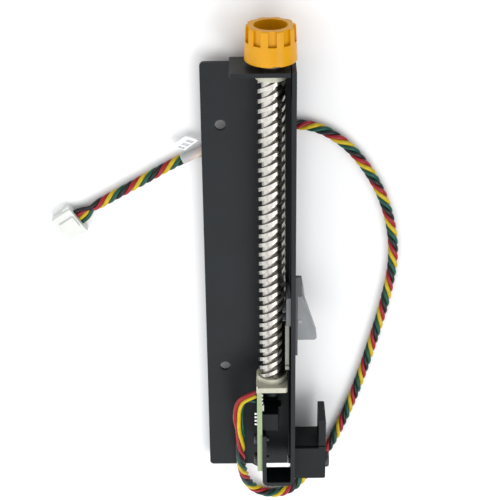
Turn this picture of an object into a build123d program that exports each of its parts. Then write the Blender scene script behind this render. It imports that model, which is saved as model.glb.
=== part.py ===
from build123d import *
import math
import os

# A lead-screw slide: a bent steel bracket carries a four-start screw between two nylon bearings.
# A driver turns the amber cap, the screw walks a carriage along the side wall, and a small
# circuit board at the foot reads the screw and sends its signal out through a four-wire lead.
#
# Millimetres. The origin is midway between the two mounting holes, on the rear face of the plate.
# +Y runs along the screw towards the drive cap, +Z leaves the plate on the screw's side and
# +X points to the side wall that the carriage runs on.

# Driving dimensions
SHEET = 1.25
PLATE_LEFT = -5.5
WALL_OUT = 21.1
WALL_IN = WALL_OUT - SHEET
PLATE_FOOT = -76.8
PLATE_HEAD = 58.7
FLANGE_TOP = 60.4
FLANGE_UNDER = FLANGE_TOP - SHEET
RIM_Z = 15.2
HOLE_R = 1.6
HOLE_SPACING = 80.0
BEND_OUT = 1.9
BEND_IN = 0.5

AXIS_X = 14.2
AXIS_Z = 8.0
CREST_R = 4.1
ROOT_R = 3.0
STARTS = 4
LEAD = 11.8
PITCH = LEAD / STARTS
CREST_Y = 2.245
CREST_WIDTH = 1.2
ROOT_WIDTH = 1.3
THREAD_FOOT = -38.0
THREAD_HEAD = 56.6
END_FLOAT = 0.1
UPPER_JOURNAL_R = 2.5
LOWER_JOURNAL_R = 1.6
RUNNING_FIT = 0.05

CAP_FOOT = 61.85
CAP_HEAD = 71.65
CAP_FOOT_R = 7.3
CAP_HEAD_R = 6.8
SOCKET_R = 4.65
SOCKET_DEPTH = 5.0
FLUTES = 10
FLUTE_LENGTH = 4.3
FLUTE_WIDTH = 2.3
FLUTE_R = 6.1

BASE_HEAD = -39.85
BASE_FOOT = -41.5
BASE_LEFT = 9.45
BASE_RIGHT = 18.85
BASE_FRONT_Z = 14.4
COLLAR_R = 4.6
BOARD_LEFT = 9.6
BOARD_RIGHT = 11.1
BOARD_FOOT = -70.65
BOARD_REAR_Z = 2.0
BOARD_FRONT_Z = 14.4
TAB_FOOT = -75.4
TAB_HEAD = -56.85
TAB_REAR_Z = 7.0

SLOT_HEAD = 51.0
SLOT_FOOT = -24.0
SLOT_Z = 8.0
SLOT_WIDTH = 5.0
SHOE_HEAD = -9.8
SHOE_FOOT = -19.1
NECK_HEAD = -11.6
NECK_FOOT = -17.2
SIDE_GAP = 0.1
SHOE_REAR_Z = 3.0
SHOE_FRONT_Z = 12.5
TOOTH_LENGTH = 6.4
OUTER_LEFT = WALL_OUT + SIDE_GAP
OUTER_RIGHT = OUTER_LEFT + 0.6
OUTER_FOOT = -29.5
STOP_RIGHT = 22.95
STOP_HEAD = -3.2
STOP_REAR_Z = 11.0

# The ramp on the flag, as a straight line through its foot
FLAG_HEAD = -9.5
FLAG_FOOT = -24.4
FLAG_REAR_Z = 7.0
FLAG_FRONT_Z = 12.0
RAMP_RIGHT = 27.5
RAMP_FOOT = -23.5
RAMP_SLOPE = -0.3146
RIB_WIDTH = 0.65
TAIL_HEAD = -6.5
PIN_X = 22.45
PIN_Y = -18.1
FLAG_PIN_R = 0.55

BLOCK_HEAD = -62.8
BLOCK_FOOT = -74.6
BLOCK_RIGHT = 30.7
BLOCK_FRONT_Z = 12.4
POST_LEFT = 28.55
POST_HEAD = -53.3
BRACKET_SCREW_Y = -71.2
BRACKET_SCREW_Z = 7.0
BRACKET_SCREW_R = 1.25
BRACKET_HEAD_R = 2.5

TABLE_Z = -3.2
LEAD_R = 1.5
FILM = 0.08
LEAD_Z = TABLE_Z + FILM + 0.04 + LEAD_R
WAYS = 4
CONTACT_PITCH = 1.25
PLUG_AT = (-42.3, 10.4)
PLUG_TURN = 214.0
PLUG_LENGTH = 6.6
PLUG_WIDTH = 8.2
PLUG_HEIGHT = 4.2


def block(x0, x1, y0, y1, z0, z1):
    """A box between two corners."""
    middle = ((x0 + x1) / 2, (y0 + y1) / 2, (z0 + z1) / 2)
    return Pos(*middle) * Box(x1 - x0, y1 - y0, z1 - z0)


def bar(x, z, radius, y0, y1):
    """A round bar along Y."""
    return Pos(x, (y0 + y1) / 2, z) * Rot(90, 0, 0) * Cylinder(radius, y1 - y0)


def pin_x(x0, x1, y, z, radius):
    """A round bar along X."""
    return Pos((x0 + x1) / 2, y, z) * Rot(0, 90, 0) * Cylinder(radius, x1 - x0)


def pin_z(x, y, z0, z1, radius):
    """A round bar along Z."""
    return Pos(x, y, (z0 + z1) / 2) * Cylinder(radius, z1 - z0)


def edges_at(solid, axis, **where):
    """The straight edges along an axis whose middle has the given coordinates."""
    found = []
    for edge in solid.edges().filter_by(axis):
        middle = edge.center()
        place = {"x": middle.X, "y": middle.Y, "z": middle.Z}
        if all(abs(place[name] - value) < 0.01 for name, value in where.items()):
            found.append(edge)
    return found


def slab(points, z0, z1):
    """A flat piece of the given outline between two heights."""
    face = make_face(Polyline(*points, close=True))
    return Pos(0, 0, z0) * extrude(face, z1 - z0)


# The bracket is one folded sheet

def wall_and_plate():
    plate = block(PLATE_LEFT, WALL_OUT, TAB_FOOT, PLATE_HEAD, 0, SHEET)
    wall = block(WALL_IN, WALL_OUT, TAB_FOOT, PLATE_HEAD, 0, RIM_Z)
    sheet = plate + wall
    sheet = fillet(edges_at(sheet, Axis.Y, x=WALL_OUT, z=0), BEND_OUT)
    sheet = fillet(edges_at(sheet, Axis.Y, x=WALL_IN, z=SHEET), BEND_IN)
    foot = block(PLATE_LEFT, WALL_IN - BEND_IN, PLATE_FOOT, TAB_FOOT, 0, SHEET)
    horn = block(WALL_IN, WALL_OUT, PLATE_HEAD, FLANGE_TOP, 2.4, RIM_Z)
    lug = slab([(7.8, PLATE_FOOT), (10.2, -78.4), (12.4, -78.4), (12.4, PLATE_FOOT)], 0, SHEET)
    sheet = sheet + foot + horn + lug
    corners = edges_at(sheet, Axis.Z, x=PLATE_LEFT, y=PLATE_FOOT)
    corners += edges_at(sheet, Axis.Z, x=PLATE_LEFT, y=PLATE_HEAD)
    return fillet(corners, 1.2)


def head_flange():
    left = 2.85
    right = WALL_IN - 0.4
    flange = block(left, right, FLANGE_UNDER - 3, FLANGE_TOP, 0, SHEET)
    flange = flange + block(left, right, FLANGE_UNDER, FLANGE_TOP, 0, RIM_Z)
    flange = fillet(edges_at(flange, Axis.X, y=FLANGE_TOP, z=0), BEND_OUT)
    flange = fillet(edges_at(flange, Axis.X, y=FLANGE_UNDER, z=SHEET), BEND_IN)
    return fillet(edges_at(flange, Axis.Y, x=left, z=RIM_Z), 1.0)


def foot_strip():
    """The strip that wraps round the foot: wall, foot flange and board tab."""
    flange = block(BOARD_RIGHT, WALL_OUT, TAB_FOOT, TAB_FOOT + SHEET, TAB_REAR_Z, RIM_Z)
    tab = block(BOARD_RIGHT, BOARD_RIGHT + SHEET, TAB_FOOT, TAB_HEAD, TAB_REAR_Z, RIM_Z)
    side = block(WALL_IN, WALL_OUT, TAB_FOOT, TAB_FOOT + 5, TAB_REAR_Z, RIM_Z)
    strip = flange + tab + side
    outer = edges_at(strip, Axis.Z, x=WALL_OUT, y=TAB_FOOT)
    outer += edges_at(strip, Axis.Z, x=BOARD_RIGHT, y=TAB_FOOT)
    strip = fillet(outer, BEND_OUT)
    inner = edges_at(strip, Axis.Z, x=WALL_IN, y=TAB_FOOT + SHEET)
    inner += edges_at(strip, Axis.Z, x=BOARD_RIGHT + SHEET, y=TAB_FOOT + SHEET)
    return fillet(inner, BEND_IN)


def carriage_slot():
    middle = (SLOT_HEAD + SLOT_FOOT) / 2
    straight = SLOT_HEAD - SLOT_FOOT - SLOT_WIDTH
    x = (WALL_IN + WALL_OUT) / 2
    slot = Pos(x, middle, SLOT_Z) * Box(4 * SHEET, straight, SLOT_WIDTH)
    for end in (middle - straight / 2, middle + straight / 2):
        slot = slot + pin_x(x - 2 * SHEET, x + 2 * SHEET, end, SLOT_Z, SLOT_WIDTH / 2)
    return slot


def bearing_pegs():
    """The two pegs that hold the lower bearing in the plate."""
    pegs = []
    for x in (AXIS_X - 2.4, AXIS_X + 2.4):
        pegs.append(block(x - 1.1, x + 1.1, BASE_FOOT + 0.1, BASE_HEAD - 0.1, 0, SHEET))
    return pegs


BOARD_SCREWS = [(-60.4, 11.1), (-67.6, 11.1)]
BOARD_SCREW_R = 0.8


def bracket():
    wall = wall_and_plate()
    relief = block(WALL_IN - BEND_IN, WALL_OUT + 1, TAB_FOOT - 1, TAB_FOOT + 1.6, -1, TAB_REAR_Z)
    sheet = wall - relief
    corner = block(WALL_IN - 1, WALL_OUT + 1, TAB_FOOT - 1, TAB_FOOT + 4, TAB_REAR_Z, RIM_Z + 1)
    sheet = sheet - corner + foot_strip() + head_flange()
    for y in (HOLE_SPACING / 2, -HOLE_SPACING / 2):
        sheet = sheet - pin_z(0, y, -1, SHEET + 1, HOLE_R)
    sheet = sheet - bar(AXIS_X, AXIS_Z, BUSHING_NECK_R, FLANGE_UNDER - 1, FLANGE_TOP + 1)
    sheet = sheet - carriage_slot()
    for peg in bearing_pegs():
        sheet = sheet - peg
    for y, z in BOARD_SCREWS:
        sheet = sheet - pin_x(BOARD_RIGHT - 1, BOARD_RIGHT + SHEET + 1, y, z, BOARD_SCREW_R)
    hole = pin_x(WALL_IN - 1, WALL_OUT + 1, BRACKET_SCREW_Y, BRACKET_SCREW_Z, BRACKET_SCREW_R)
    return sheet - hole


# The screw and what turns with it

def thread():
    """Four trapezoid starts twisted round the root."""
    degrees_per_mm = 360 / LEAD
    crest = CREST_WIDTH * degrees_per_mm / 2
    root = (PITCH - ROOT_WIDTH) * degrees_per_mm / 2
    start = (THREAD_FOOT - CREST_Y) * degrees_per_mm % (360 / STARTS)
    edges = []
    for n in range(STARTS):
        middle = n * 360 / STARTS + start
        foot_a = on_circle(ROOT_R, middle - root)
        crest_a = on_circle(CREST_R, middle - crest)
        crest_b = on_circle(CREST_R, middle + crest)
        foot_b = on_circle(ROOT_R, middle + root)
        next_foot = on_circle(ROOT_R, middle + 360 / STARTS - root)
        edges.append(Line(foot_a, crest_a))
        edges.append(ThreePointArc(crest_a, on_circle(CREST_R, middle), crest_b))
        edges.append(Line(crest_b, foot_b))
        valley = on_circle(ROOT_R, middle + 180 / STARTS)
        edges.append(ThreePointArc(foot_b, valley, next_foot))
    length = THREAD_HEAD - THREAD_FOOT
    face = make_face(edges).face()
    body = Solid.extrude_linear_with_rotation(face, (0, 0, 0), (0, 0, length), length * degrees_per_mm)
    return Pos(AXIS_X, THREAD_FOOT, AXIS_Z) * Rot(-90, 0, 0) * body


def on_circle(radius, degrees):
    angle = math.radians(degrees)
    return (radius * math.cos(angle), radius * math.sin(angle))


def on_axis(radius, y0, y1):
    return bar(AXIS_X, AXIS_Z, radius, y0, y1)


CAP_FLOOR = CAP_HEAD - SOCKET_DEPTH
CAP_SEAT = CAP_FLOOR - 1.8
CAP_SCREW_R = 1.25
CAP_SCREW_DEPTH = 7.0
CAP_SCREW_HEAD_R = 2.7
CLIP_HEAD = BASE_FOOT - 0.15
CLIP_THICK = 0.6
CLIP_GROOVE_R = 1.15
ROTOR_R = 2.5
ROTOR_HEAD = -42.6
ROTOR_FOOT = -45.4
MAGNET_HEAD = -44.2


def lead_screw():
    ends = on_axis(UPPER_JOURNAL_R, THREAD_HEAD - 1, CAP_SEAT)
    ends = ends - on_axis(CAP_SCREW_R, CAP_SEAT - CAP_SCREW_DEPTH, CAP_SEAT + 1)
    lower = on_axis(LOWER_JOURNAL_R, MAGNET_HEAD, THREAD_FOOT + 1)
    groove = on_axis(LOWER_JOURNAL_R + 1, CLIP_HEAD - CLIP_THICK, CLIP_HEAD)
    groove = groove - on_axis(CLIP_GROOVE_R, CLIP_HEAD - 1, CLIP_HEAD + 1)
    return thread() + ends + (lower - groove)


def drive_cap():
    middle = (CAP_FOOT + CAP_HEAD) / 2
    body = Cone(CAP_FOOT_R, CAP_HEAD_R, CAP_HEAD - CAP_FOOT)
    cap = Pos(AXIS_X, middle, AXIS_Z) * Rot(-90, 0, 0) * body
    rims = cap.edges().filter_by(GeomType.CIRCLE)
    cap = fillet(rims, 0.35)
    for n in range(FLUTES):
        turn = (n + 0.08) * 360 / FLUTES
        half = FLUTE_WIDTH / 2
        cut = block(-half, half, CAP_HEAD - FLUTE_LENGTH, CAP_HEAD + 1, FLUTE_R, FLUTE_R + 4)
        cap = cap - Pos(AXIS_X, 0, AXIS_Z) * Rot(0, turn, 0) * cut
    cap = cap - on_axis(SOCKET_R, CAP_FLOOR, CAP_HEAD + 1)
    cap = cap - on_axis(CAP_SCREW_HEAD_R, CAP_SEAT, CAP_FLOOR + 1)
    cap = cap - on_axis(UPPER_JOURNAL_R, CAP_FOOT - 1, CAP_SEAT + 1)
    gate = block(AXIS_X + 0.4, AXIS_X + 2.4, CAP_FOOT - 1, CAP_FOOT + 0.3, AXIS_Z + 6, AXIS_Z + 8)
    return cap - gate


def cap_screw():
    head = on_axis(CAP_SCREW_HEAD_R, CAP_SEAT, CAP_SEAT + 1.6)
    head = fillet(head.edges().filter_by(GeomType.CIRCLE).sort_by(Axis.Y)[-1:], 0.6)
    for turn in (20, 110):
        head = head - Pos(AXIS_X, CAP_SEAT + 1.4, AXIS_Z) * Rot(0, turn, 0) * Box(2.8, 1.4, 0.6)
    return head + on_axis(CAP_SCREW_R, CAP_SEAT - CAP_SCREW_DEPTH + 0.4, CAP_SEAT + 0.5)


def journal_clip():
    """An open clip in the groove below the lower bearing."""
    ring = on_axis(2.9, CLIP_HEAD - CLIP_THICK, CLIP_HEAD)
    ring = ring - on_axis(CLIP_GROOVE_R, CLIP_HEAD - 1, CLIP_HEAD + 1)
    mouth = block(AXIS_X - 0.9, AXIS_X + 0.9, CLIP_HEAD - 1, CLIP_HEAD + 1, AXIS_Z, AXIS_Z + 5)
    return ring - mouth


def encoder_rotor():
    hub = on_axis(ROTOR_R, ROTOR_FOOT, ROTOR_HEAD)
    return hub - on_axis(LOWER_JOURNAL_R, ROTOR_FOOT - 1, ROTOR_HEAD + 1)


def encoder_magnet():
    return on_axis(LOWER_JOURNAL_R, ROTOR_FOOT, MAGNET_HEAD)


# The two nylon bearings

BUSHING_NECK_R = 3.3


def upper_bushing():
    collar = on_axis(4.3, THREAD_HEAD + END_FLOAT, FLANGE_UNDER)
    neck = on_axis(BUSHING_NECK_R, FLANGE_UNDER, FLANGE_TOP)
    lip = on_axis(3.7, FLANGE_TOP, FLANGE_TOP + 0.4)
    bore = on_axis(UPPER_JOURNAL_R + RUNNING_FIT, THREAD_HEAD - 1, FLANGE_TOP + 2)
    return collar + neck + lip - bore


def lower_bearing():
    """A square front and a round back, on a foot that its pegs hold in the plate."""
    base = block(BASE_LEFT, BASE_RIGHT, BASE_FOOT, BASE_HEAD, AXIS_Z, BASE_FRONT_Z)
    base = fillet(edges_at(base, Axis.Y, x=BASE_RIGHT, z=BASE_FRONT_Z), 1.0)
    back = on_axis(COLLAR_R, BASE_FOOT, THREAD_FOOT - END_FLOAT)
    foot = block(AXIS_X - 3.7, AXIS_X + 3.7, BASE_FOOT, BASE_HEAD, SHEET, AXIS_Z)
    lip = block(BASE_LEFT, BASE_LEFT + 0.45, BASE_HEAD, BASE_HEAD + 0.6, BASE_FRONT_Z - 1, BASE_FRONT_Z)
    bearing = base + back + foot + lip
    for peg in bearing_pegs():
        bearing = bearing + peg
    return bearing - on_axis(LOWER_JOURNAL_R + RUNNING_FIT, BASE_FOOT - 1, BASE_HEAD + 4)


# The circuit board and its parts

PIN_YS = (-50.9, -52.17, -53.44, -54.71)
JOINT_YS = (-42.15, -43.45, -44.75, -46.05)
WIRE_Z = 11.6
PIN_Z = 11.2


def circuit_board():
    board = block(BOARD_LEFT, BOARD_RIGHT, BOARD_FOOT, BASE_FOOT, BOARD_REAR_Z, BOARD_FRONT_Z)
    board = fillet(edges_at(board, Axis.X, y=BOARD_FOOT, z=BOARD_FRONT_Z), 0.8)
    for y, z in BOARD_SCREWS:
        board = board - pin_x(BOARD_LEFT - 1, BOARD_RIGHT + 1, y, z, BOARD_SCREW_R)
    for y in PIN_YS:
        board = board - block(BOARD_LEFT - 1, BOARD_RIGHT + 1, y - 0.3, y + 0.3, PIN_Z - 0.3, PIN_Z + 0.3)
    return board


def sensor_housing():
    head = -50.2
    body = block(BOARD_RIGHT, 16.2, head - 5.85, head, 6.4, 13.0)
    body = chamfer(body.edges().group_by(Axis.X)[-1], 0.25)
    return body + block(BOARD_RIGHT, 17.0, head - 6.6, head, 5.2, 8.6)


def sensor_pin(y):
    return block(BOARD_LEFT - 0.75, BOARD_RIGHT, y - 0.3, y + 0.3, PIN_Z - 0.3, PIN_Z + 0.3)


def wire_joint(y):
    """The solder dome where a wire comes through the board."""
    dome = Pos(BOARD_RIGHT, y, WIRE_Z + 1) * Sphere(0.5)
    return dome & block(BOARD_RIGHT, BOARD_RIGHT + 1, y - 1, y + 1, WIRE_Z, WIRE_Z + 2)


def chip(y, length, z):
    return block(BOARD_RIGHT, BOARD_RIGHT + 0.6, y - length / 2, y + length / 2, z - 0.6, z + 0.6)


def board_screw(y, z):
    head = pin_x(BOARD_LEFT - 1.1, BOARD_LEFT, y, z, 1.7)
    head = fillet(head.edges().filter_by(GeomType.CIRCLE).sort_by(Axis.X)[:1], 0.5)
    for turn in (0, 90):
        head = head - Pos(BOARD_LEFT - 1.1, y, z) * Rot(turn + 35, 0, 0) * Box(1.0, 1.8, 0.4)
    return head + pin_x(BOARD_LEFT - 0.3, BOARD_RIGHT + SHEET + 0.8, y, z, BOARD_SCREW_R)


# The carriage

def follower_shoe():
    """It rides inside the wall. Two teeth lie in the thread and a neck goes out through the slot."""
    left = 18.45
    tip = 17.4
    plate = block(left, WALL_IN - SIDE_GAP, SHOE_FOOT, SHOE_HEAD, SHOE_REAR_Z, SHOE_FRONT_Z + 0.5)
    plate = chamfer(edges_at(plate, Axis.Z, x=left, y=SHOE_HEAD), 0.5)
    half = SLOT_WIDTH / 2 - 0.2
    neck = block(WALL_IN - 0.5, OUTER_LEFT, NECK_FOOT, NECK_HEAD, SLOT_Z - half, SLOT_Z + half)
    shoe = plate + neck
    helix = math.degrees(math.atan(LEAD / (2 * math.pi * (CREST_R + ROOT_R) / 2)))
    for pitches in (5.5, 6.5):
        tooth = Rot(helix, 0, 0) * Box(left - tip, 0.6, TOOTH_LENGTH)
        shoe = shoe + Pos((left + tip) / 2, CREST_Y - pitches * PITCH, AXIS_Z) * tooth
    return shoe


def follower_leaf():
    """A spring leaf with a raised pad at its free end."""
    left = 18.15
    right = 19.25
    foot = -33.9
    leaf = block(left, right, foot, SHOE_FOOT, 10.8, SHOE_FRONT_Z + 0.4)
    pad = block(left, right, foot, foot + 1.2, 10.8, SHOE_FRONT_Z + 0.9)
    return leaf + pad


def outer_shoe():
    """It rides outside the wall, with a stop block at its head."""
    plate = block(OUTER_LEFT, OUTER_RIGHT, OUTER_FOOT, FLAG_HEAD, SHOE_REAR_Z, SHOE_FRONT_Z)
    stop = block(OUTER_LEFT, STOP_RIGHT, FLAG_HEAD, STOP_HEAD, STOP_REAR_Z, SHOE_FRONT_Z)
    stop = fillet(edges_at(stop, Axis.Z, x=STOP_RIGHT, y=STOP_HEAD), 0.5)
    return plate + stop


def ramp_x(y):
    """The ramp's edge at a given height along the screw."""
    return RAMP_RIGHT + (y - RAMP_FOOT) * RAMP_SLOPE


def push_flag():
    """A hollow ramp with a raised rib along its slanted edge and a tail under the stop block."""
    head = ramp_x(FLAG_HEAD)
    foot = ramp_x(FLAG_FOOT)
    outline = [(OUTER_RIGHT, FLAG_HEAD), (head, FLAG_HEAD), (foot, FLAG_FOOT), (OUTER_RIGHT, FLAG_FOOT)]
    body = slab(outline, FLAG_REAR_Z, FLAG_FRONT_Z)
    body = fillet(edges_at(body, Axis.Z, x=foot, y=FLAG_FOOT), 0.9)
    low = FLAG_FOOT + 1.6
    high = FLAG_HEAD - 2.6
    near = [(head - RIB_WIDTH, FLAG_HEAD), (head - 0.1, FLAG_HEAD)]
    far = [(ramp_x(low) - 0.1, low), (ramp_x(low) - RIB_WIDTH, low)]
    rib = slab(near + far, FLAG_FRONT_Z, FLAG_FRONT_Z + 0.35)
    left = PIN_X + FLAG_PIN_R + 0.05
    right = [(ramp_x(high) - 0.6, high), (ramp_x(low) - 0.6, low)]
    hollow = slab([(left, high), *right, (left, low)], FLAG_REAR_Z - 1, FLAG_FRONT_Z - 1.2)
    inner = [(OUTER_RIGHT, FLAG_HEAD - 2), (OUTER_RIGHT, TAIL_HEAD)]
    outer = [(23.2, TAIL_HEAD), (23.75, FLAG_HEAD - 0.6), (ramp_x(FLAG_HEAD - 4) - 0.2, FLAG_HEAD - 4)]
    tail = slab(inner + outer, FLAG_REAR_Z, STOP_REAR_Z)
    return body - hollow + rib + tail - pin_z(PIN_X, PIN_Y, FLAG_FRONT_Z - 1, FLAG_FRONT_Z + 1, FLAG_PIN_R)


def flag_pin():
    return pin_z(PIN_X, PIN_Y, FLAG_FRONT_Z - 1, FLAG_FRONT_Z + 0.15, FLAG_PIN_R)


# The side bracket

def side_bracket():
    body = block(WALL_OUT, BLOCK_RIGHT, BLOCK_FOOT, BLOCK_HEAD, SHEET, BLOCK_FRONT_Z)
    body = fillet(edges_at(body, Axis.Z, x=BLOCK_RIGHT, y=BLOCK_FOOT), 0.6)
    ledge = block(WALL_OUT, POST_LEFT, BLOCK_HEAD - 0.6, BLOCK_HEAD, BLOCK_FRONT_Z - 1.2, BLOCK_FRONT_Z)
    post = block(POST_LEFT, BLOCK_RIGHT, BLOCK_HEAD - 1, POST_HEAD, SHEET, BLOCK_FRONT_Z - 0.3)
    post = fillet(edges_at(post, Axis.Z, x=BLOCK_RIGHT, y=POST_HEAD), 0.5)
    hole = pin_x(WALL_OUT - 1, BLOCK_RIGHT + 1, BRACKET_SCREW_Y, BRACKET_SCREW_Z, BRACKET_SCREW_R)
    return body - ledge + post - hole


def bracket_screw():
    head = pin_x(BLOCK_RIGHT, BLOCK_RIGHT + 1.4, BRACKET_SCREW_Y, BRACKET_SCREW_Z, BRACKET_HEAD_R)
    head = fillet(head.edges().filter_by(GeomType.CIRCLE).sort_by(Axis.X)[-1:], 0.7)
    for turn in (0, 90):
        wing = Pos(BLOCK_RIGHT + 1.4, BRACKET_SCREW_Y, BRACKET_SCREW_Z) * Rot(turn + 25, 0, 0)
        head = head - wing * Box(1.2, 2.4, 0.5)
    shank = pin_x(WALL_IN - 0.6, BLOCK_RIGHT + 0.4, BRACKET_SCREW_Y, BRACKET_SCREW_Z, BRACKET_SCREW_R)
    return head + shank


# The lead lies on the table. It passes under the plate and ends in a four-way plug.

PLUG_X, PLUG_Y = PLUG_AT
PLUG_DX = math.cos(math.radians(PLUG_TURN))
PLUG_DY = math.sin(math.radians(PLUG_TURN))

PLUG_RUN = 7.6
ROUTE = [
    (BOARD_LEFT, -44.8, WIRE_Z),
    (6.4, -44.8, WIRE_Z),
    (4.5, -47.6, 11.2),
    (4.0, -52.6, 10.2),
    (4.5, -60.2, 8.8),
    (4.2, -68.2, 6.9),
    (4.7, -76.2, 4.4),
    (5.9, -83.4, 1.2),
    (8.9, -88.9, -1.2),
    (14.6, -91.1, LEAD_Z),
    (20.6, -89.4, LEAD_Z),
    (25.6, -82.8, LEAD_Z),
    (32.2, -73.6, LEAD_Z),
    (37.6, -60.4, LEAD_Z),
    (41.8, -47.2, LEAD_Z),
    (45.6, -32.8, LEAD_Z),
    (49.2, -17.6, LEAD_Z),
    (51.2, -2.6, LEAD_Z),
    (48.8, 11.6, LEAD_Z),
    (43.6, 23.2, LEAD_Z),
    (35.6, 33.6, LEAD_Z),
    (24.6, 39.6, LEAD_Z),
    (13.0, 37.2, LEAD_Z),
    (1.0, 33.5, LEAD_Z),
    (-11.0, 28.9, LEAD_Z),
    (-23.0, 21.9, LEAD_Z),
    (PLUG_X - PLUG_RUN * PLUG_DX, PLUG_Y - PLUG_RUN * PLUG_DY, LEAD_Z),
    (PLUG_X, PLUG_Y, LEAD_Z),
]
CUTS = (6, 10, 15, 21)
LABEL_ALONG = 32.0


def corner_radii(points):
    """Each corner's radius: as large as its two runs allow."""
    radii = []
    for before, here, after in zip(points, points[1:], points[2:]):
        arrive = Vector(*here) - Vector(*before)
        leave = Vector(*after) - Vector(*here)
        turn = math.radians(arrive.get_angle(leave))
        radii.append(0.45 * min(arrive.length, leave.length) / math.tan(turn / 2))
    return radii


def middle_of(a, b):
    return tuple((p + q) / 2 for p, q in zip(a, b))


def lead_stretches():
    """The lead's pieces, each from the middle of one run to the middle of another."""
    ends = [0, *CUTS, len(ROUTE) - 1]
    radii = corner_radii(ROUTE)
    stretches = []
    for first, last in zip(ends, ends[1:]):
        points = ROUTE[first + 1:last + 1]
        corners = radii[first:last]
        if first == 0:
            points = [ROUTE[0]] + points
        else:
            points = [middle_of(ROUTE[first], ROUTE[first + 1])] + points
        if last < len(ROUTE) - 1:
            points = points + [middle_of(ROUTE[last], ROUTE[last + 1])]
        stretches.append((points, corners[:len(points) - 2]))
    return stretches


def tube(points, radii):
    path = FilletPolyline(*points, radius=radii)
    heading = path % 0
    face = Plane(origin=path @ 0, z_dir=heading) * Circle(LEAD_R)
    solid = sweep(face, path=path)
    wanted = math.pi * LEAD_R**2 * path.length
    print("lead", round(path.length, 1), "mm, volume", round(solid.volume / wanted, 4), "of its section")
    return solid


def plug_place():
    return Pos(PLUG_X, PLUG_Y, TABLE_Z) * Rot(0, 0, PLUG_TURN)


def contact_places():
    return [CONTACT_PITCH * (n - (WAYS - 1) / 2) for n in range(WAYS)]


def plug_housing():
    """In its own frame the wires enter at x = 0 and the mating face is at the far end."""
    body = block(0, PLUG_LENGTH, -PLUG_WIDTH / 2, PLUG_WIDTH / 2, 0, PLUG_HEIGHT - 0.6)
    body = fillet(body.edges().filter_by(Axis.X), 0.35)
    latch = block(0.6, PLUG_LENGTH - 1.2, -1.7, 1.7, PLUG_HEIGHT - 0.9, PLUG_HEIGHT)
    for side in (-1, 1):
        ear = block(0, 2.2, side * PLUG_WIDTH / 2 - 0.6, side * PLUG_WIDTH / 2 + 0.6, 0.5, 3.0)
        body = body + ear
    body = body + latch
    for y in contact_places():
        body = body - block(1.0, PLUG_LENGTH + 1, y - 0.45, y + 0.45, 1.2, 2.4)
    return plug_place() * body


def plug_contact(y):
    """A folded metal receptacle, open at the mating face."""
    sleeve = block(1.0, PLUG_LENGTH - 0.5, y - 0.45, y + 0.45, 1.2, 2.4)
    sleeve = sleeve - block(2.6, PLUG_LENGTH, y - 0.28, y + 0.28, 1.4, 2.2)
    return plug_place() * sleeve


def cable_label():
    """A clear film folded round the lead, with its printed flag standing off to one side."""
    points, radii = lead_stretches()[-1]
    path = FilletPolyline(*points, radius=radii)
    at = LABEL_ALONG / path.length
    place = path @ at
    heading = path % at
    length = 4.4
    gap = LEAD_Z - TABLE_Z - LEAD_R - FILM
    wrap = Rot(0, 90, 0) * Cylinder(LEAD_R + gap + FILM, length)
    wrap = wrap - Rot(0, 90, 0) * Cylinder(LEAD_R + gap, length + 1)
    flag = block(-length / 2, length / 2, -7.4, -LEAD_R - gap - FILM / 2, -FILM, FILM)
    turn = math.degrees(math.atan2(heading.Y, heading.X))
    return Pos(place.X, place.Y, place.Z) * Rot(0, 0, turn) * (wrap + flag)


def write(name, solid):
    solid.label = name
    export_step(solid, f"parts/{name}.step")


def main():
    os.makedirs("parts", exist_ok=True)
    write("bracket", bracket())
    write("upper_bushing", upper_bushing())
    write("lower_bearing", lower_bearing())
    write("lead_screw", lead_screw())
    write("drive_cap", drive_cap())
    write("cap_screw", cap_screw())
    write("journal_clip", journal_clip())
    write("encoder_rotor", encoder_rotor())
    write("encoder_magnet", encoder_magnet())
    write("circuit_board", circuit_board())
    write("sensor_housing", sensor_housing())
    for n, y in enumerate(PIN_YS, 1):
        write(f"sensor_pin_{n}", sensor_pin(y))
    for n, y in enumerate(JOINT_YS, 1):
        write(f"wire_joint_{n}", wire_joint(y))
    write("chip_1", chip(-47.75, 2.0, 12.6))
    write("chip_2", chip(-46.0, 1.2, 3.4))
    for n, place in enumerate(BOARD_SCREWS, 1):
        write(f"board_screw_{n}", board_screw(*place))
    write("follower_shoe", follower_shoe())
    write("follower_leaf", follower_leaf())
    write("outer_shoe", outer_shoe())
    write("push_flag", push_flag())
    write("flag_pin", flag_pin())
    write("side_bracket", side_bracket())
    write("bracket_screw", bracket_screw())
    for n, (points, radii) in enumerate(lead_stretches(), 1):
        write(f"signal_lead_{n}", tube(points, radii))
    write("plug_housing", plug_housing())
    for n, y in enumerate(contact_places(), 1):
        write(f"plug_contact_{n}", plug_contact(y))
    write("cable_label", cable_label())
    print("corner radii", [round(r, 1) for r in corner_radii(ROUTE)])


main()
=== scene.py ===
import math

import bmesh
import bpy
from mathutils import Matrix, Vector


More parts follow.
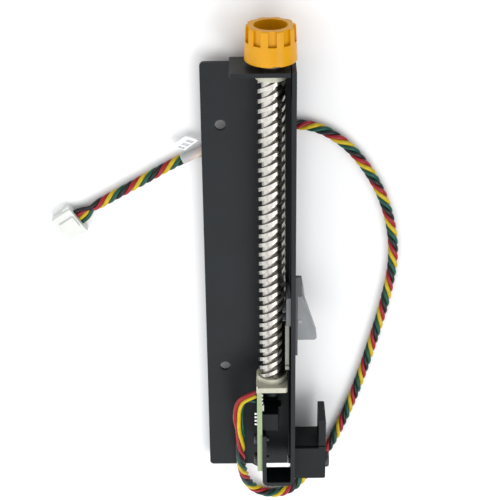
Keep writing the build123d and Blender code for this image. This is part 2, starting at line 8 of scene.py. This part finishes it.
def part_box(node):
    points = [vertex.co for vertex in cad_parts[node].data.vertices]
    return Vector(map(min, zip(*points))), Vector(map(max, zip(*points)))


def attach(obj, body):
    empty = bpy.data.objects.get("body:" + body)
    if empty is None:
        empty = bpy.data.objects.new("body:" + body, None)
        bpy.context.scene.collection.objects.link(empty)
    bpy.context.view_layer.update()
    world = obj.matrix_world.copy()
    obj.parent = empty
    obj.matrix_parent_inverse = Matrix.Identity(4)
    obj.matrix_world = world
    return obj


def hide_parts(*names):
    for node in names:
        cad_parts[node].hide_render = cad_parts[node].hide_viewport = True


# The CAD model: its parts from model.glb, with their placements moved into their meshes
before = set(bpy.data.objects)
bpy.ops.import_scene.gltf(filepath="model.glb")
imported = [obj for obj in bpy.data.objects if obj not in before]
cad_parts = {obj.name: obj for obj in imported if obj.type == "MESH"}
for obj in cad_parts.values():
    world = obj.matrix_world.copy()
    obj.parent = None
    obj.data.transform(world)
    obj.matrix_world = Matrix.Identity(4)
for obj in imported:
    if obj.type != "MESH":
        bpy.data.objects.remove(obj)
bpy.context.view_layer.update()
CAD = {name: bpy.data.objects[name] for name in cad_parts}

MM = 0.001


def at(x, y, z):
    """A point given in millimetres."""
    return Vector((x, y, z)) * MM


# Camera: it looks down on the plate from beyond the drive cap
CAMERA_FOOT = at(8.0, 190.55, 1.4)
CAMERA_HEIGHT = 367 * MM
CAMERA_TILT = math.radians(27.4)
CAMERA_ROLL = math.radians(0.65)
CAMERA_SENSOR = 36
CAMERA_LENS = 100.8
CAMERA_NEAR = 0.02
CAMERA_FAR = 20


def make_camera():
    data = bpy.data.cameras.new("camera")
    data.sensor_width = CAMERA_SENSOR
    data.lens = CAMERA_LENS
    data.clip_start = CAMERA_NEAR
    data.clip_end = CAMERA_FAR
    right = Vector((1, 0, 0))
    up = Vector((0, math.cos(CAMERA_TILT), -math.sin(CAMERA_TILT)))
    back = right.cross(up)
    side = right * math.cos(CAMERA_ROLL) - up * math.sin(CAMERA_ROLL)
    over = right * math.sin(CAMERA_ROLL) + up * math.cos(CAMERA_ROLL)
    turn = Matrix((side, over, back)).transposed().to_4x4()
    camera = bpy.data.objects.new("camera", data)
    camera.matrix_world = Matrix.Translation(CAMERA_FOOT + Vector((0, 0, CAMERA_HEIGHT))) @ turn
    bpy.context.collection.objects.link(camera)
    bpy.context.scene.camera = camera


# Materials

class Nodes:
    """A material and its shader, with short names for the nodes that the finishes share."""

    def __init__(self, name, **sockets):
        self.material = bpy.data.materials.new(name)
        self.material.use_nodes = True
        self.tree = self.material.node_tree
        self.shader = self.tree.nodes["Principled BSDF"]
        self.place = self.add("ShaderNodeTexCoord").outputs["Object"]
        for key, value in sockets.items():
            self.shader.inputs[key.replace("_", " ")].default_value = value

    def add(self, kind, **values):
        node = self.tree.nodes.new(kind)
        for key, value in values.items():
            setattr(node, key, value)
        return node

    def link(self, source, target):
        self.tree.links.new(source, target)

    def noise(self, scale, detail=4, roughness=0.6, stretch=None):
        node = self.add("ShaderNodeTexNoise")
        node.inputs["Scale"].default_value = scale
        node.inputs["Detail"].default_value = detail
        node.inputs["Roughness"].default_value = roughness
        place = self.place
        if stretch:
            mapping = self.add("ShaderNodeMapping")
            mapping.inputs["Scale"].default_value = stretch
            self.link(place, mapping.inputs["Vector"])
            place = mapping.outputs["Vector"]
        self.link(place, node.inputs["Vector"])
        return node.outputs["Fac"]

    def ramp(self, source, stops):
        node = self.add("ShaderNodeValToRGB")
        ramp = node.color_ramp
        while len(ramp.elements) < len(stops):
            ramp.elements.new(0.5)
        for element, (where, colour) in zip(ramp.elements, stops):
            element.position = where
            element.color = (*colour, 1)
        self.link(source, node.inputs["Fac"])
        return node.outputs["Color"]

    def colour(self, source):
        self.link(source, self.shader.inputs["Base Color"])

    def shades(self, source, low, high, high_from=0.7):
        """The surface's colour goes from one shade to another as the noise rises."""
        self.colour(self.ramp(source, [(0.3, low), (high_from, high)]))

    def roughness(self, source, low, high):
        node = self.add("ShaderNodeMapRange")
        node.inputs["To Min"].default_value = low
        node.inputs["To Max"].default_value = high
        self.link(source, node.inputs["Value"])
        self.link(node.outputs["Result"], self.shader.inputs["Roughness"])

    def bump(self, source, strength, distance):
        node = self.add("ShaderNodeBump")
        node.inputs["Strength"].default_value = strength
        node.inputs["Distance"].default_value = distance
        self.link(source, node.inputs["Height"])
        self.link(node.outputs["Normal"], self.shader.inputs["Normal"])


def tint(colour, factor):
    return tuple(min(1.0, channel * factor) for channel in colour)


def moulded(name, colour, spread=0.12, rough=(0.38, 0.5), grain=5200, depth=0.00001, **sockets):
    """Moulded plastic: slow shade changes, a fine texture and patchy gloss."""
    n = Nodes(name, **sockets)
    n.shades(n.noise(160, 3), tint(colour, 1 - spread), tint(colour, 1 + spread))
    n.roughness(n.noise(420, 3), *rough)
    n.bump(n.noise(grain, 3), 0.35, depth)
    return n.material


def powder_coat():
    n = Nodes("black_powder_coat", Specular_IOR_Level=0.2)
    dark = (0.0065, 0.0088, 0.011)
    n.shades(n.noise(60, 5, 0.65), tint(dark, 0.82), tint(dark, 1.25))
    n.roughness(n.noise(900, 4), 0.36, 0.5)
    n.bump(n.noise(3400, 3, 0.7), 0.5, 0.00002)
    return n.material


def polished_steel():
    """Rolled and polished: fine marks run round the screw."""
    n = Nodes("polished_steel", Metallic=1.0)
    steel = (0.37, 0.355, 0.33)
    n.shades(n.noise(500, 4), tint(steel, 0.84), tint(steel, 1.12), 0.75)
    n.roughness(n.noise(900, 4, 0.7, (1, 4, 1)), 0.16, 0.27)
    n.bump(n.noise(1400, 2, 0.5, (0.4, 3, 0.4)), 0.12, 0.000004)
    return n.material


def dark_fastener():
    n = Nodes("black_oxide", Metallic=0.75)
    n.shades(n.noise(900, 3), (0.03, 0.03, 0.032), (0.09, 0.09, 0.095), 0.75)
    n.roughness(n.noise(1500, 3), 0.3, 0.5)
    return n.material


def bright_metal(name, colour):
    n = Nodes(name, Metallic=1.0)
    n.shades(n.noise(1800, 3), tint(colour, 0.8), tint(colour, 1.15))
    n.roughness(n.noise(1500, 2), 0.2, 0.42)
    n.bump(n.noise(2200, 2), 0.2, 0.00002)
    return n.material


def amber():
    colour = (0.64, 0.295, 0.001)
    n = Nodes("amber_plastic", Specular_IOR_Level=0.2, Subsurface_Weight=0.1, Subsurface_Scale=0.0015)
    n.shader.inputs["Subsurface Radius"].default_value = (1.0, 0.5, 0.1)
    n.shades(n.noise(140, 3), tint(colour, 0.92), tint(colour, 1.07))
    n.roughness(n.noise(700, 3), 0.24, 0.34)
    n.bump(n.noise(4200, 3), 0.3, 0.00001)
    return n.material


def nylon():
    colour = (0.47, 0.46, 0.37)
    n = Nodes("natural_nylon", Specular_IOR_Level=0.5, Subsurface_Weight=0.35, Subsurface_Scale=0.002)
    n.shader.inputs["Subsurface Radius"].default_value = (1.0, 0.9, 0.7)
    n.shades(n.noise(260, 3), tint(colour, 0.9), tint(colour, 1.08))
    n.roughness(n.noise(600, 3), 0.3, 0.42)
    n.bump(n.noise(2400, 3), 0.25, 0.00002)
    return n.material


def laminate():
    """Green mask on the faces and pale glass fibre on the cut edges."""
    n = Nodes("board_laminate", Specular_IOR_Level=0.5)
    faces = n.ramp(n.noise(500, 3), [(0.3, (0.02, 0.09, 0.025)), (0.7, (0.035, 0.13, 0.035))])
    edges = n.ramp(n.noise(2500, 4, 0.7, (3, 1, 1)), [(0.3, (0.2, 0.27, 0.13)), (0.7, (0.36, 0.44, 0.25))])
    geometry = n.add("ShaderNodeNewGeometry")
    split = n.add("ShaderNodeSeparateXYZ")
    n.link(geometry.outputs["Normal"], split.inputs["Vector"])
    size = n.add("ShaderNodeMath", operation="ABSOLUTE")
    n.link(split.outputs["X"], size.inputs[0])
    mix = n.add("ShaderNodeMix", data_type="RGBA")
    n.link(size.outputs["Value"], mix.inputs["Factor"])
    n.link(edges, mix.inputs["A"])
    n.link(faces, mix.inputs["B"])
    n.colour(mix.outputs["Result"])
    n.roughness(n.noise(1200, 2), 0.35, 0.6)
    return n.material


def insulation(name, colour):
    n = Nodes(name, Specular_IOR_Level=0.3, Coat_Weight=0.08, Coat_Roughness=0.2)
    n.shades(n.noise(700, 3), tint(colour, 0.85), tint(colour, 1.15))
    n.roughness(n.noise(1100, 3), 0.3, 0.45)
    n.bump(n.noise(1600, 3), 0.2, 0.00003)
    return n.material


def clear_film():
    n = Nodes("clear_film", Base_Color=(0.93, 0.94, 0.94, 1), Alpha=0.42, Specular_IOR_Level=0.6)
    n.roughness(n.noise(700, 3), 0.12, 0.3)
    n.bump(n.noise(500, 3), 0.4, 0.00008)
    return n.material


def film(name, colour):
    n = Nodes(name, Specular_IOR_Level=0.4)
    n.shades(n.noise(900, 3), tint(colour, 0.94), tint(colour, 1.05))
    n.roughness(n.noise(900, 3), 0.3, 0.45)
    return n.material


def table_paper():
    n = Nodes("table", Specular_IOR_Level=0.1)
    n.shades(n.noise(9, 3), (0.86, 0.86, 0.865), (0.89, 0.89, 0.893))
    n.roughness(n.noise(40, 2), 0.8, 0.95)
    return n.material


# Pieces made here

def mesh_piece(name, bm, material, smooth=True):
    """A piece of the frame's body, made from a mesh in work."""
    mesh = bpy.data.meshes.new(name)
    bm.to_mesh(mesh)
    bm.free()
    for face in mesh.polygons:
        face.use_smooth = smooth
    mesh.materials.append(material)
    piece = bpy.data.objects.new(name, mesh)
    bpy.context.collection.objects.link(piece)
    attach(piece, "frame")
    return piece


def tube(bm, points, radius, sides=14):
    """A round tube whose rings are centred on the points, closed at both ends."""
    rings = []
    side = None
    for i, point in enumerate(points):
        before = points[max(i - 1, 0)]
        after = points[min(i + 1, len(points) - 1)]
        along = (after - before).normalized()
        if side is None:
            side = along.orthogonal().normalized()
        side = (side - along * side.dot(along)).normalized()
        up = along.cross(side)
        ring = []
        for k in range(sides):
            angle = 2 * math.pi * k / sides
            ring.append(bm.verts.new(point + (side * math.cos(angle) + up * math.sin(angle)) * radius))
        rings.append(ring)
    for low, high in zip(rings, rings[1:]):
        for k in range(sides):
            bm.faces.new((low[k], low[(k + 1) % sides], high[(k + 1) % sides], high[k]))
    bm.faces.new(rings[0][::-1])
    bm.faces.new(rings[-1])


# The lead: four insulated wires twisted together. It lies on the table and passes under the plate.
LEAD_Z = -1.58
LEAD_ROUTE = [
    (9.6, -44.8, 11.6),
    (6.4, -44.8, 11.6),
    (4.5, -47.6, 11.2),
    (4.0, -52.6, 10.2),
    (4.5, -60.2, 8.8),
    (4.2, -68.2, 6.9),
    (4.7, -76.2, 4.4),
    (5.9, -83.4, 1.2),
    (8.9, -88.9, -1.2),
    (14.6, -91.1, LEAD_Z),
    (20.6, -89.4, LEAD_Z),
    (25.6, -82.8, LEAD_Z),
    (32.2, -73.6, LEAD_Z),
    (37.6, -60.4, LEAD_Z),
    (41.8, -47.2, LEAD_Z),
    (45.6, -32.8, LEAD_Z),
    (49.2, -17.6, LEAD_Z),
    (51.2, -2.6, LEAD_Z),
    (48.8, 11.6, LEAD_Z),
    (43.6, 23.2, LEAD_Z),
    (35.6, 33.6, LEAD_Z),
    (24.6, 39.6, LEAD_Z),
    (13.0, 37.2, LEAD_Z),
    (1.0, 33.5, LEAD_Z),
    (-11.0, 28.9, LEAD_Z),
    (-23.0, 21.9, LEAD_Z),
    (-36.0, 14.65, LEAD_Z),
    (-42.3, 10.4, LEAD_Z),
]
STEP = 0.5 * MM
WIRE_RADIUS = 0.62 * MM

# Twist: the lay is one full turn's length, and the twist tightens to it over the ramp
TWIST_RADIUS = 0.88 * MM
LAY = 10.6 * MM
TWIST_START = 9 * MM
TWIST_RAMP = 31.2 * MM
TWIST_PHASE = 0.1

# The wires leave their joints, gather from the loose bundle, and spread again before the plug
JOINT_LEAP = 5 * MM
JOINT_COVER = 0.2 * MM
GATHER_FROM = 11 * MM
GATHER_LENGTH = 9 * MM
SPREAD_LENGTH = 9 * MM
PLUG_PITCH = 1.25 * MM
PLUG_LIFT = 0.1 * MM
PLUG_MIDDLE = 1.5

# Each wire: its colour, its joint, its place in the loose bundle by the board, its place at the plug
WIRES = [
    ("yellow", (0.5, 0.36, 0.002), 2, (0.1, 0.95), 1),
    ("green", (0.0, 0.06, 0.038), 4, (-0.75, -0.55), 0),
    ("black", (0.004, 0.005, 0.007), 3, (0.65, -0.65), 3),
    ("red", (0.27, 0.006, 0.012), 1, (1.35, 0.8), 2),
]

# The label: a clear wrap round the lead beside the plate, and a printed flag that stands off it
WRAP_FROM_PLUG = 36.2 * MM
WRAP_TO = 44 * MM
WRAP_RADIUS = 1.54 * MM
WRAP_SIDES = 28
FLAG_CORNER = (-14.2, 32.8, -0.9)
FLAG_ALONG = (4.1, 3.3, 0.5)
FLAG_ACROSS = (3.8, -1.35, -0.2)
FLAG_THICKNESS = 0.12 * MM

# The flag's top is a grid of cells. Its print is plain bars, in groups along the flag
FLAG_COLUMNS = 19
FLAG_ROWS = 20
PRINT_COLUMNS = range(1, 17)
PRINT_ROWS = range(8, 18, 2)
GROUP_PITCH = 6
BAR_LENGTH = 4


def route_line():
    """The route's smooth line, as points a step apart."""
    data = bpy.data.curves.new("route", "CURVE")
    data.dimensions = "3D"
    data.resolution_u = 32
    spline = data.splines.new("NURBS")
    spline.points.add(len(LEAD_ROUTE) - 1)
    for point, place in zip(spline.points, LEAD_ROUTE):
        point.co = (*at(*place), 1)
    spline.order_u = 3
    spline.use_endpoint_u = True
    carrier = bpy.data.objects.new("route", data)
    mesh = bpy.data.meshes.new_from_object(carrier)
    line = [vertex.co.copy() for vertex in mesh.vertices]
    bpy.data.meshes.remove(mesh)
    bpy.data.objects.remove(carrier)
    bpy.data.curves.remove(data)
    return evenly(line, STEP)


def evenly(line, step):
    """Points on a line, as near to a step apart as its length allows."""
    along = [0.0]
    for a, b in zip(line, line[1:]):
        along.append(along[-1] + (b - a).length)
    count = round(along[-1] / step)
    points = []
    i = 0
    for k in range(count + 1):
        wanted = along[-1] * k / count
        while i < len(along) - 2 and along[i + 1] < wanted:
            i += 1
        share = (wanted - along[i]) / max(along[i + 1] - along[i], 1e-9)
        points.append(line[i].lerp(line[i + 1], min(max(share, 0), 1)))
    return points


def ease(value):
    """A smooth rise from 0 to 1."""
    value = min(max(value, 0.0), 1.0)
    return value * value * (3 - 2 * value)


def turns(s):
    """Turns of twist up to a place: none beside the board, then tighter up to the full lay."""
    beyond = max(s - TWIST_START, 0)
    grown = min(beyond, TWIST_RAMP)
    return grown ** 2 / (2 * TWIST_RAMP * LAY) + (beyond - grown) / LAY


def wire_line(line, index, joint, board_place, plug_place):
    """One wire's own line: apart at the board, twisted along the lead, side by side at the plug."""
    length = STEP * (len(line) - 1)
    low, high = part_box(f"wire_joint_{joint}")
    middle = (low[1] + high[1]) / 2
    pad = Vector((line[0].x, middle, (low[2] + high[2]) / 2))
    points = []
    for i, centre in enumerate(line):
        s = length * i / (len(line) - 1)
        along = (line[min(i + 1, len(line) - 1)] - line[max(i - 1, 0)]).normalized()
        right = along.cross(Vector((0, 0, 1))).normalized()
        up = right.cross(along)
        twist = 2 * math.pi * (turns(s) + index / len(WIRES) + TWIST_PHASE)
        wound = (right * math.cos(twist) + up * math.sin(twist)) * TWIST_RADIUS
        loose = (right * board_place[0] + up * board_place[1]) * MM
        flat = right * (plug_place - PLUG_MIDDLE) * PLUG_PITCH + up * PLUG_LIFT
        offset = loose.lerp(wound, ease((s - GATHER_FROM) / GATHER_LENGTH))
        offset = offset.lerp(flat, ease((s - length + SPREAD_LENGTH) / SPREAD_LENGTH))
        point = centre + offset
        if s < JOINT_LEAP:
            point = pad.lerp(point, ease((s + JOINT_COVER) / JOINT_LEAP))
        points.append(point)
    return points


def make_lead(line):
    for index, (name, colour, joint, board_place, plug_place) in enumerate(WIRES):
        points = wire_line(line, index, joint, board_place, plug_place)
        bm = bmesh.new()
        tube(bm, points, WIRE_RADIUS)
        wire = mesh_piece(f"wire_{name}", bm, insulation(f"{name}_insulation", colour))
    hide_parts(*[f"signal_lead_{n}" for n in range(1, 6)])


def make_wrap(line):
    last = len(line) - 1
    start = last - round(WRAP_TO / STEP)
    end = last - round(WRAP_FROM_PLUG / STEP)
    bm = bmesh.new()
    tube(bm, line[start:end + 1], WRAP_RADIUS, WRAP_SIDES)
    wrap = mesh_piece("label_wrap", bm, clear_film())
    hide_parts("cable_label")


def is_printed(column, row):
    return column in PRINT_COLUMNS and row in PRINT_ROWS and column % GROUP_PITCH < BAR_LENGTH


def flag_grid(bm, corner, along, across):
    """The vertices of one of the flag's two faces, by column and row."""
    grid = []
    for i in range(FLAG_COLUMNS + 1):
        start = corner + along * (i / FLAG_COLUMNS)
        grid.append([bm.verts.new(start + across * (j / FLAG_ROWS)) for j in range(FLAG_ROWS + 1)])
    return grid


def make_flag():
    corner = at(*FLAG_CORNER)
    along = at(*FLAG_ALONG)
    across = at(*FLAG_ACROSS)
    down = along.cross(across).normalized() * FLAG_THICKNESS
    bm = bmesh.new()
    top = flag_grid(bm, corner, along, across)
    bottom = flag_grid(bm, corner + down, along, across)
    for i in range(FLAG_COLUMNS):
        for j in range(FLAG_ROWS):
            face = bm.faces.new((top[i][j], top[i][j + 1], top[i + 1][j + 1], top[i + 1][j]))
            face.material_index = int(is_printed(i, j))
            bm.faces.new((bottom[i][j], bottom[i + 1][j], bottom[i + 1][j + 1], bottom[i][j + 1]))
    for i in range(FLAG_COLUMNS):
        for j in (0, FLAG_ROWS):
            bm.faces.new((top[i][j], top[i + 1][j], bottom[i + 1][j], bottom[i][j]))
    for j in range(FLAG_ROWS):
        for i in (0, FLAG_COLUMNS):
            bm.faces.new((top[i][j + 1], top[i][j], bottom[i][j], bottom[i][j + 1]))
    bmesh.ops.recalc_face_normals(bm, faces=bm.faces)
    flag = mesh_piece("label_flag", bm, film("white_film", (0.8, 0.81, 0.82)), smooth=False)
    flag.data.materials.append(film("printed_film", (0.06, 0.06, 0.07)))


# CAD pieces keep their shape and take their finishes here

def finish_cad():
    black = moulded("black_plastic", (0.006, 0.0075, 0.009), rough=(0.42, 0.54), Specular_IOR_Level=0.16)
    fastener = dark_fastener()
    solder = bright_metal("solder", (0.7, 0.7, 0.68))
    finishes = {
        "bracket": powder_coat(),
        "lead_screw": polished_steel(),
        "drive_cap": amber(),
        "cap_screw": fastener,
        "journal_clip": fastener,
        "board_screw_1": fastener,
        "board_screw_2": fastener,
        "bracket_screw": fastener,
        "encoder_rotor": black,
        "encoder_magnet": bright_metal("magnet", (0.3, 0.3, 0.31)),
        "sensor_housing": black,
        "side_bracket": black,
        "upper_bushing": nylon(),
        "lower_bearing": nylon(),
        "circuit_board": laminate(),
        "chip_1": moulded("ceramic_chip", (0.62, 0.58, 0.45)),
        "chip_2": moulded("ceramic_chip_small", (0.5, 0.42, 0.3)),
        "follower_shoe": moulded("slider_grey", (0.125, 0.13, 0.135)),
        "follower_leaf": moulded("leaf_beige", (0.24, 0.235, 0.2)),
        "outer_shoe": moulded("shoe_grey", (0.05, 0.052, 0.056)),
        "push_flag": moulded("flag_grey", (0.2, 0.21, 0.22)),
        "flag_pin": moulded("pin_grey", (0.3, 0.3, 0.31)),
        "plug_housing": moulded("plug_white", (0.66, 0.67, 0.64), 0.04),
    }
    for n in range(1, 5):
        finishes[f"sensor_pin_{n}"] = solder
        finishes[f"wire_joint_{n}"] = solder
        finishes[f"plug_contact_{n}"] = bright_metal(f"tinned_contact_{n}", (0.7, 0.68, 0.62))
    for name, material in finishes.items():
        data = CAD[name].data
        data.materials.clear()
        data.materials.append(material)


# The studio

TABLE_Z = -3.22 * MM
TABLE_HALF = 3
MIDDLE = at(12, -10, 0)
# Each light: its name, its place, its length and width, and its power
LIGHTS = [
    ("left", (-0.92, -0.36, 0.46), (1.5, 0.86), 6.0),
    ("above", (-0.2, -0.36, 1.0), (1.5, 0.66), 5.6),
    ("right", (0.6, -0.36, 0.84), (1.5, 0.42), 6.6),
]
WORLD_COLOUR = (0.97, 0.985, 1, 1)
WORLD_STRENGTH = 0.62


def make_table():
    bm = bmesh.new()
    bmesh.ops.create_grid(bm, x_segments=1, y_segments=1, size=TABLE_HALF)
    mesh = bpy.data.meshes.new("table")
    bm.to_mesh(mesh)
    bm.free()
    table = bpy.data.objects.new("table", mesh)
    table.location.z = TABLE_Z
    mesh.materials.append(table_paper())
    bpy.context.collection.objects.link(table)


def area_light(name, place, size, power):
    data = bpy.data.lights.new(name, "AREA")
    data.shape = "RECTANGLE"
    data.size, data.size_y = size
    data.energy = power
    light = bpy.data.objects.new(name, data)
    light.location = place
    light.rotation_euler = (MIDDLE - light.location).to_track_quat("-Z", "Y").to_euler()
    bpy.context.collection.objects.link(light)


def make_lights():
    for light in LIGHTS:
        area_light(*light)
    world = bpy.data.worlds.new("studio")
    bpy.context.scene.world = world
    world.use_nodes = True
    background = world.node_tree.nodes["Background"]
    background.inputs["Color"].default_value = WORLD_COLOUR
    background.inputs["Strength"].default_value = WORLD_STRENGTH
    bpy.context.scene.view_settings.view_transform = "Standard"


make_camera()
lead_line = route_line()
make_lead(lead_line)
make_wrap(lead_line)
make_flag()
finish_cad()
make_table()
make_lights()
